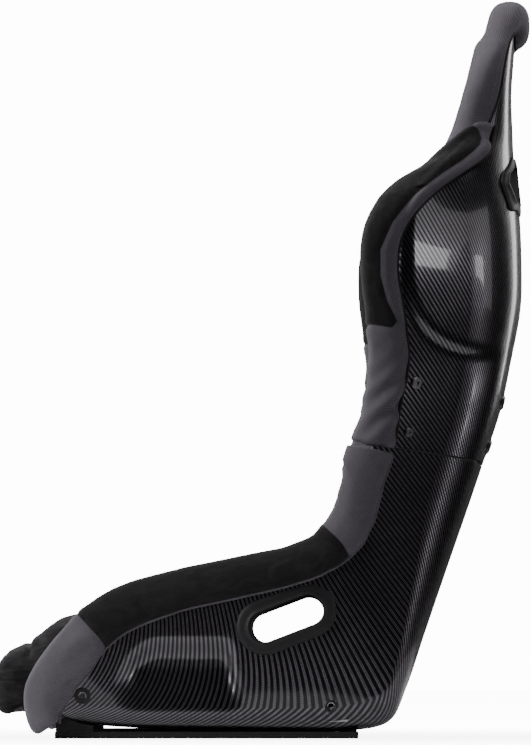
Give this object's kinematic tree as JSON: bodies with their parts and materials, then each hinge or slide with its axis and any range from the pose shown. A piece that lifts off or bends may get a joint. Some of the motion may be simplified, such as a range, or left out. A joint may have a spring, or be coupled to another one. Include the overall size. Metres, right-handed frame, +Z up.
{
  "type": "racing seat",
  "caption": "Fixed-back racing bucket seat: two-piece glossy laminate shell with belt slots, padded grey and black bolsters, headrest hood and loose cushions.",
  "frame": {"origin": "centre of the bounding box in X and Y, at the underside of the base rails", "axes": "+X to the rear of the seat, so the driver faces -X; +Y across the seat; +Z up from the rails to the headrest"},
  "size_m": [0.6326, 0.5592, 0.8811],
  "materials": {
    "shell_laminate": "glass-fibre laminate with a glossy twill-pattern surface",
    "bezel_plastic": "moulded, fine matte grain",
    "black_hardware": "black oxide",
    "plated_steel": "zinc plated",
    "rail_paint": "black powder coat",
    "foam": "open-cell foam, hidden in the covers",
    "hook_tape": "hook-and-loop strip",
    "black_suede": "brushed microfibre suede",
    "grey_weave": "fine charcoal woven cloth with a black suede patch and stitched hem"
  },
  "bodies": {
    "root": {"lower_shell": "shell_laminate", "upper_shell": "shell_laminate", "joint_tongue": "shell_laminate", "side_joint_bolts": "black_hardware", "side_joint_nuts": "plated_steel", "back_joint_bolts": "black_hardware", "back_joint_nuts": "plated_steel", "lap_belt_bezel_left": "bezel_plastic", "lap_belt_bezel_right": "bezel_plastic", "shoulder_belt_bezel_left": "bezel_plastic", "shoulder_belt_bezel_right": "bezel_plastic", "side_mount_plates": "plated_steel", "side_mount_rings": "black_hardware", "base_rail_left": "rail_paint", "base_rail_right": "rail_paint", "rail_spacers": "rail_paint", "rail_screws": "plated_steel", "seat_cushion_foam": "foam", "seat_cushion_cover": "black_suede", "back_cushion_foam": "foam", "back_cushion_cover": "black_suede", "lumbar_pad": "black_suede", "head_cushion": "grey_weave", "seat_hook_tapes": "hook_tape", "back_hook_tapes": "hook_tape", "thigh_bolster_foam_left": "foam", "thigh_bolster_foam_right": "foam", "thigh_bolster_cover_left": "grey_weave", "thigh_bolster_cover_right": "grey_weave", "torso_bolster_foam_left": "foam", "torso_bolster_foam_right": "foam", "torso_bolster_cover_left": "grey_weave", "torso_bolster_cover_right": "grey_weave", "headrest_hood_foam": "foam", "headrest_hood_cover": "grey_weave"}
  },
  "joints": []
}
